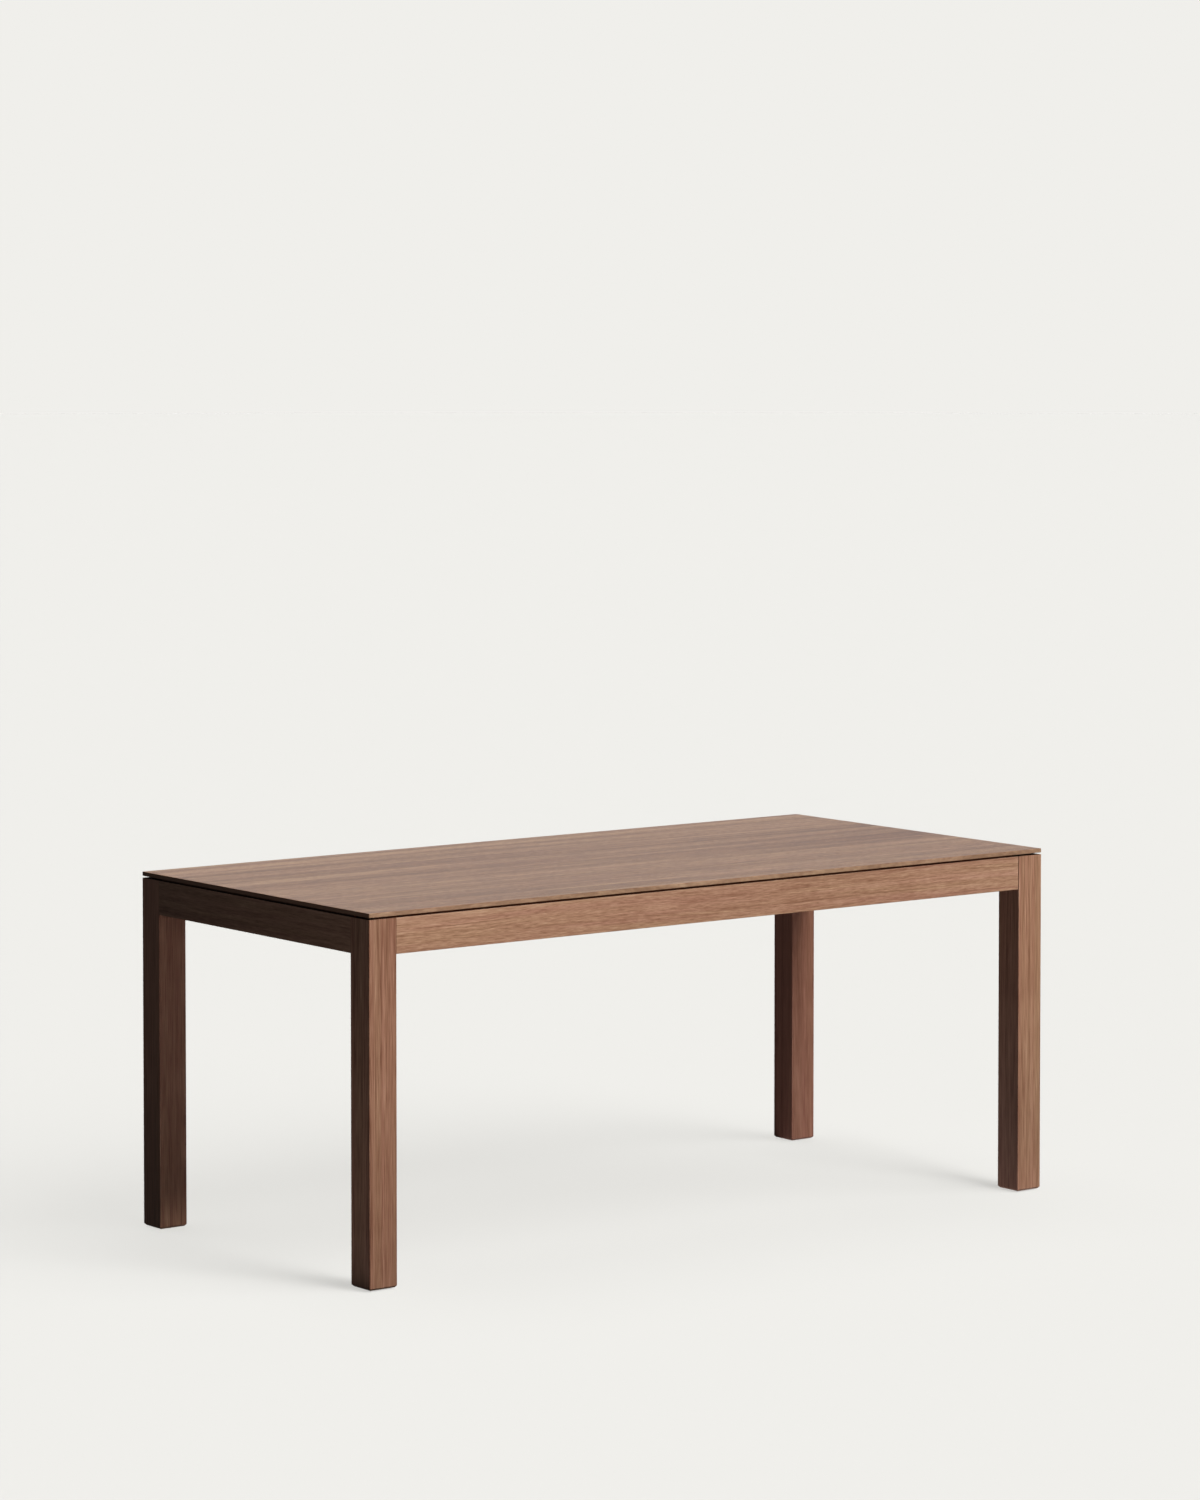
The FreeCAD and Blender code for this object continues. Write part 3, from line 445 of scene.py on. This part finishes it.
def leg_path(length):
    """A chamfered foot, then straight up to a broken edge at the top."""
    return [(7 * MM, 0, 0), (FOOT_CHAMFER, 0, 0.5 * MM), (0, FOOT_CHAMFER, 1.2 * MM),
            (0, length, 0.6 * MM), (2 * MM, length, 0)]


def rail_path(length):
    """Both ends meet a leg, so they are cut square and only just broken."""
    return [(2 * MM, 0, 0), (0, 0, 0.15 * MM), (0, length, 0.15 * MM), (2 * MM, length, 0)]


# A leg's tone, partly painted shade that makes the front left and back right legs darker, the shares of its
# fine lines and of its bands, and how much painted shade darkens it towards the floor
LEGS = {
    "leg_front_left": ((0.75, 0.745, 0.74), 1.25, 0.6, 0.20),
    "leg_front_right": ((1.00, 1.07, 1.07), 1.0, 0.4, 0.26),
    "leg_back_left": ((0.96, 0.98, 1.03), 0.9, 0.7, 0.10),
    "leg_back_right": ((0.66, 0.60, 0.63), 0.9, 0.7, 0.10),
}
# A rail's direction and tone; the lower tone of the left end rail is painted shade
RAILS = {
    "apron_front": ("x", (1.10, 1.22, 1.26)),
    "apron_back": ("x", (1.0, 1.1, 1.1)),
    "end_rail_left": ("y", (0.85, 0.93, 0.96)),
    "end_rail_right": ("y", (1.0, 1.1, 1.1)),
}

# Each leg gets its painted shade: its tone, the darkening towards the floor and the near-black faces in the
# shadow gap
for number, (node, (tone, fine_share, band_share, foot)) in enumerate(LEGS.items()):
    finish = wood(f"walnut_{node}", "z", 2.3 + 1.9 * number, tone=tone, slant=0.5 + 0.2 * number,
                  fine_share=fine_share, band_share=band_share, reach=5.0, bend=0.012,
                  hues=LEG_HUES, foot=foot, painted_gap_shade=(gap_low, gap_high))
    dress(swept(f"post_{node[4:]}", node, "z", leg_path, ARRIS, finish), body_of[node], node)

# The rails' faces inside the shadow gap get a near-black painted shade
for number, (node, (axis, tone)) in enumerate(RAILS.items()):
    finish = wood(f"walnut_{node}", axis, 12.1 + 2.7 * number, tone=tone, slant=0.9,
                  fine_share=0.85, band_share=0.55, reach=1.6, painted_gap_shade=(gap_low, gap_high))
    dress(swept(f"rail_{node}", node, axis, rail_path, ARRIS, finish), body_of[node], node)


# Finishes of the CAD pieces

def grain_of(node):
    """The wood's grain runs along the piece's longest side."""
    low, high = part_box(node)
    return "xyz"[int(np.argmax(np.array(high) - np.array(low)))]


# The width of the veneer strips
STRIP = 0.142
top_low, top_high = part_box("main_top")
# The top's faces inside the shadow gap get a near-black painted shade
special = {
    "main_top": wood("walnut_main_top", "x", 5.2, tone=(1.00, 1.01, 0.88), strip=STRIP, slant=0.15,
                     fine_share=1.7, band_share=1.5, reach=1.3,
                     banded=(top_high.x - 0.4 * MM, top_high.z - 0.5 * MM),
                     painted_gap_shade=(gap_low, gap_high + 0.15 * MM)),
    "leaf_board": wood("walnut_leaf_board", "y", 31.0, strip=STRIP, slant=0.15),
}
# The dark and the light colour, the scale of the grain, the roughness and the depth of the bumps
plain = {
    "nylon": grained("dark_nylon", (0.030, 0.026, 0.023), (0.055, 0.050, 0.045), 2600.0, 0.5, 0.03 * MM),
    "rubber": grained("soft_rubber", (0.020, 0.020, 0.020), (0.040, 0.040, 0.041), 1800.0, 0.75, 0.05 * MM),
    "felt": grained("dense_felt", (0.060, 0.050, 0.045), (0.150, 0.130, 0.115), 3200.0, 0.95, 0.3 * MM),
    "brass": turned_brass("turned_brass"),
}
# Tones by the direction of the grain for the dark strips in the shadow gap, which paint light onto them:
# browner along the sides, and painted lighter at the end, which the lamps reach less. The legs and rails
# that the walnut pieces hide have them too.
PAINTED_TONES_BY_GRAIN = {"x": (0.19, 0.075, 0.025), "y": (0.50, 0.30, 0.19), "z": (0.19, 0.075, 0.025)}


def grained_finish(slot, grain, seed):
    """The finish for all pieces of one material whose grain runs one way."""
    if slot == "steel":
        return plated_steel(f"zinc_plated_steel_{grain}", grain)
    if slot == "inner_wood":
        return wood(f"sanded_beech_{grain}", grain, seed, stops=BEECH)
    return wood(f"{slot}_{grain}", grain, seed, tone=PAINTED_TONES_BY_GRAIN[grain])


slots = {row["node"]: row["material_slot"] for row in frame["record"]["subparts"]}
made = {}
for node, item in sorted(frame["nodes"].items()):
    slot = slots[node]
    if node in special:
        finish = special[node]
    elif slot in plain:
        finish = plain[slot]
    else:
        key = (slot, grain_of(node))
        if key not in made:
            made[key] = grained_finish(*key, 40.0 + 3.3 * len(made))
        finish = made[key]
    if not item.data.materials:
        item.data.materials.append(finish)
    for holder in item.material_slots:
        holder.material = finish


# Studio

PAPER = (0.871, 0.863, 0.831)
# How much of the paper's colour the floor gives off by itself, and how much it has as its own colour
FLOOR_GLOW, FLOOR_BODY = 0.450, 0.1355
FLOOR_RADIUS, DOME_RADIUS = 58.0, 60
TURNS, CLIMBS = 96, 24
SKY, SKY_STRENGTH = (0.98, 0.99, 1.0, 1.0), 0.05


def stage_piece(name, points, faces, glow, body):
    """A piece of the studio that gives off one colour, and that the table neither mirrors nor is lit by."""
    mesh = bpy.data.meshes.new(name)
    mesh.from_pydata(points, [], faces)
    piece = bpy.data.objects.new(name, mesh)
    bpy.context.scene.collection.objects.link(piece)
    f = Finish(name, Roughness=1.0)
    f.shader.inputs["Specular IOR Level"].default_value = 0.0
    f.shader.inputs["Emission Color"].default_value = (*glow, 1.0)
    f.shader.inputs["Emission Strength"].default_value = 1.0
    f.shader.inputs["Base Color"].default_value = (*body, 1.0)
    mesh.materials.append(f.material)
    piece.visible_diffuse = False
    piece.visible_glossy = False
    piece.visible_shadow = False
    piece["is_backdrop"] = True
    return piece


def studio():
    """A floor that gives a little light of its own, so shadows stay faint, and a paper-white surround.

    The floor is a disc whose points stand at even turns. Point k, j of the surround lies on a sphere
    at turn k and at climb j, which rises evenly from below the floor to straight above it.
    """
    turn = np.linspace(0, 2 * np.pi, TURNS + 1)[:-1]
    rim = np.stack([FLOOR_RADIUS * np.cos(turn), FLOOR_RADIUS * np.sin(turn), np.zeros_like(turn)], axis=-1)
    floor = stage_piece("floor", rim.tolist(), [tuple(range(TURNS))], tuple(FLOOR_GLOW * c for c in PAPER),
                        tuple(FLOOR_BODY * c for c in PAPER))
    rise = np.linspace(-0.2, 0.5, CLIMBS) * np.pi
    ring, climb = np.meshgrid(turn, rise, indexing="ij")
    dome = np.stack([DOME_RADIUS * np.cos(climb) * np.cos(ring), DOME_RADIUS * np.cos(climb) * np.sin(ring),
                     DOME_RADIUS * np.sin(climb)], axis=-1)
    k, j = np.meshgrid(np.arange(TURNS), np.arange(CLIMBS - 1), indexing="ij")
    n = (k + 1) % TURNS
    k, n = k * CLIMBS, n * CLIMBS
    faces = np.stack([k + j, k + j + 1, n + j + 1, n + j], axis=-1).reshape(-1, 4)
    stage_piece("surround", dome.reshape(-1, 3).tolist(), faces.tolist(), PAPER, (0.0, 0.0, 0.0))

    world = bpy.data.worlds.new("soft_fill")
    bpy.context.scene.world = world
    world.use_nodes = True
    world.node_tree.nodes["Background"].inputs["Color"].default_value = SKY
    world.node_tree.nodes["Background"].inputs["Strength"].default_value = SKY_STRENGTH
    return floor


WHITE, WARM_WHITE = (1.0, 1.0, 1.0), (1.0, 0.985, 0.95)


def lamp(name, azimuth, elevation, strength, spread, tint=WHITE):
    """A far soft lamp, with its angles in degrees. Azimuth turns from the front, -Y, to the right, +X."""
    data = bpy.data.lights.new(name, "SUN")
    data.energy = strength
    data.angle = math.radians(spread)
    data.color = tint
    item = bpy.data.objects.new(name, data)
    a, e = math.radians(azimuth), math.radians(elevation)
    away = Vector((math.sin(a) * math.cos(e), -math.cos(a) * math.cos(e), math.sin(e)))
    item.rotation_mode = "QUATERNION"
    item.rotation_quaternion = away.to_track_quat("Z", "Y")
    bpy.context.scene.collection.objects.link(item)
    return item


def softbox(name, place, target, width, height, power, tint):
    """A flat rectangular lamp that faces its target with its width level."""
    data = bpy.data.lights.new(name, "AREA")
    data.shape = "RECTANGLE"
    data.size = width
    data.size_y = height
    data.energy = power
    data.color = tint
    item = bpy.data.objects.new(name, data)
    item.location = place
    item.rotation_mode = "QUATERNION"
    item.rotation_quaternion = (Vector(place) - Vector(target)).to_track_quat("Z", "Y")
    item.visible_camera = False
    bpy.context.scene.collection.objects.link(item)
    return item


def gather(name, members):
    """A collection of these objects that only the lamps use."""
    group = bpy.data.collections.new(name)
    for member in members:
        group.objects.link(member)
    return group


def light_only(item, group, members, blockers=()):
    """The lamp lights these objects and nothing else, and where blockers are given only they shade it."""
    item.light_linking.receiver_collection = gather(group, members)
    if blockers:
        item.light_linking.blocker_collection = gather(f"{group}_shade", blockers)


# The lamps that add the long thin shadows of the two front legs and the short ones before the back
# legs: azimuth, elevation, strength, spread, and the legs that alone shade the lamp
LEG_LAMPS = {
    "right_leg_lamp": (3, 40, 5.6, 24, ("front_right",)),
    "left_leg_lamp": (18, 40, 5.6, 24, ("front_left",)),
    "back_leg_lamp": (180, 72, 2.0, 40, ("back_left", "back_right")),
}
# The light that the floor throws back, from flat lamps that lie just over it and face up: place,
# width, height, power and tint
BOUNCES = {
    "left_bounce": ((-1.55, -0.50), 1.2, 0.9, 2.1, (1.0, 0.95, 0.95)),
    "under_bounce": ((0.45, -0.05), 1.9, 0.9, 3.7, (1.0, 0.85, 0.90)),
}

floor = studio()
light_only(lamp("floor_lamp", 26, 42, 5.2, 55), "lit_floor", [floor])
for name, (azimuth, elevation, strength, spread, legs) in LEG_LAMPS.items():
    light_only(lamp(name, azimuth, elevation, strength, spread), f"{name}_floor", [floor],
               [bpy.data.objects[f"post_{leg}"] for leg in legs])
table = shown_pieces()
# The main lamp is two: one without a glint, and a broader one that only glints
key = lamp("key_lamp", 10, 44, 4.1, 16, WARM_WHITE)
key.visible_glossy = False
light_only(key, "lit_table", table)
glint = lamp("key_glint", 10, 44, 1.4, 28, WARM_WHITE)
glint.visible_diffuse = False
light_only(glint, "glinting_table", table)
fill = lamp("front_fill", 0, 1, 1.0, 11)
fill.visible_glossy = False
light_only(fill, "filled_table", table)
light_only(lamp("back_lamp", 150, 22, 0.45, 50), "backlit_table", table)
for name, (place, width, height, power, tint) in BOUNCES.items():
    bounce = softbox(name, (*place, 0.001), (*place, 1.0), width, height, power, tint)
    bounce.visible_glossy = False
    light_only(bounce, f"{name}_table", table)


# The photograph's viewpoint, with the lens and its frame in millimetres and the angles in degrees
EYE = (-6.3368, -8.3451, 2.0422)
YAW, PITCH = 37.204, 2.741
LENS, LENS_FRAME = 116.57, 36.0
SHIFT = -250 / 1500


def camera():
    """A long lens from the front left that looks slightly down, its frame shifted down by a sixth."""
    data = bpy.data.cameras.new("viewpoint")
    data.sensor_width = LENS_FRAME
    data.lens = LENS
    data.shift_y = SHIFT
    data.clip_start, data.clip_end = 0.1, 300.0
    item = bpy.data.objects.new("viewpoint", data)
    yaw, pitch = math.radians(YAW), math.radians(PITCH)
    look = Vector((math.sin(yaw) * math.cos(pitch), math.cos(yaw) * math.cos(pitch), -math.sin(pitch)))
    right = Vector((math.cos(yaw), -math.sin(yaw), 0.0))
    up = right.cross(look)
    item.matrix_world = Matrix((right, up, -look)).transposed().to_4x4()
    item.location = EYE
    bpy.context.scene.collection.objects.link(item)
    bpy.context.scene.camera = item


camera()
bpy.context.scene.view_settings.view_transform = "Standard"
